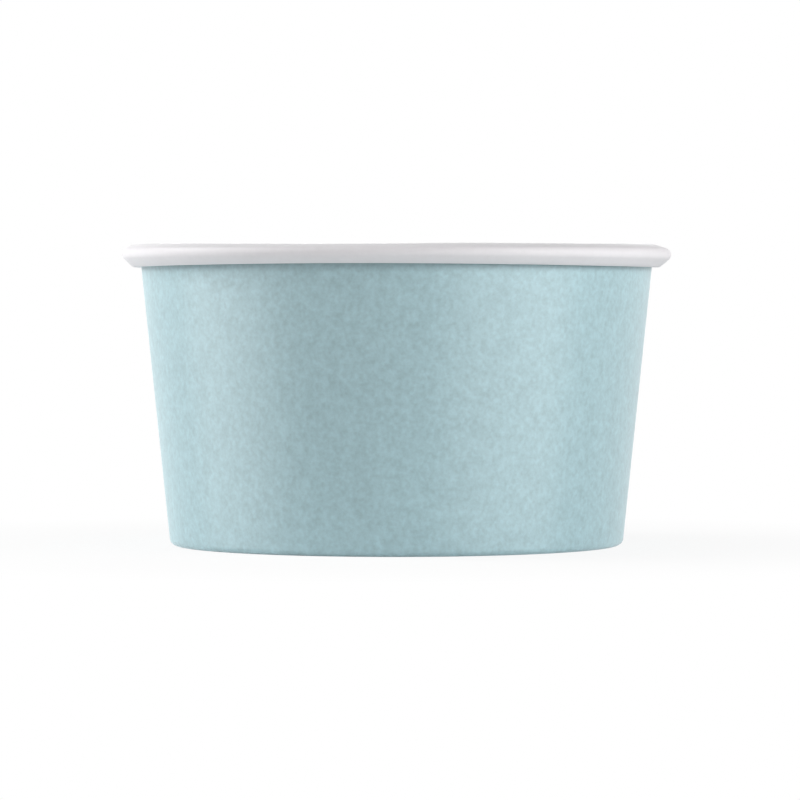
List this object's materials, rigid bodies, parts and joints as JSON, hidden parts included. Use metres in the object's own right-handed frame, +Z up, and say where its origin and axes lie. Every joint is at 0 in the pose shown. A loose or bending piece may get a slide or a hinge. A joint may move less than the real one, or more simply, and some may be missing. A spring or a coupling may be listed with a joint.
{
  "type": "paper dessert cup",
  "caption": "Short tapered paper cup with a rolled rim, a folded foot and a recessed bottom, for a scoop of ice cream or a small dessert.",
  "frame": {"origin": "centre of the foot ring, on the table plane", "axes": "+Z up along the cup's axis, +Y towards the lap seam at the back, +X to the right as seen from the front"},
  "size_m": [0.088, 0.088, 0.048],
  "materials": {
    "printed_board": "coated board, pale blue outside, white inside and over the rim, soft sheen",
    "white_board": "white coated board, soft sheen"
  },
  "bodies": {
    "root": {"side_wall": "printed_board", "bottom_disc": "white_board"}
  },
  "joints": []
}
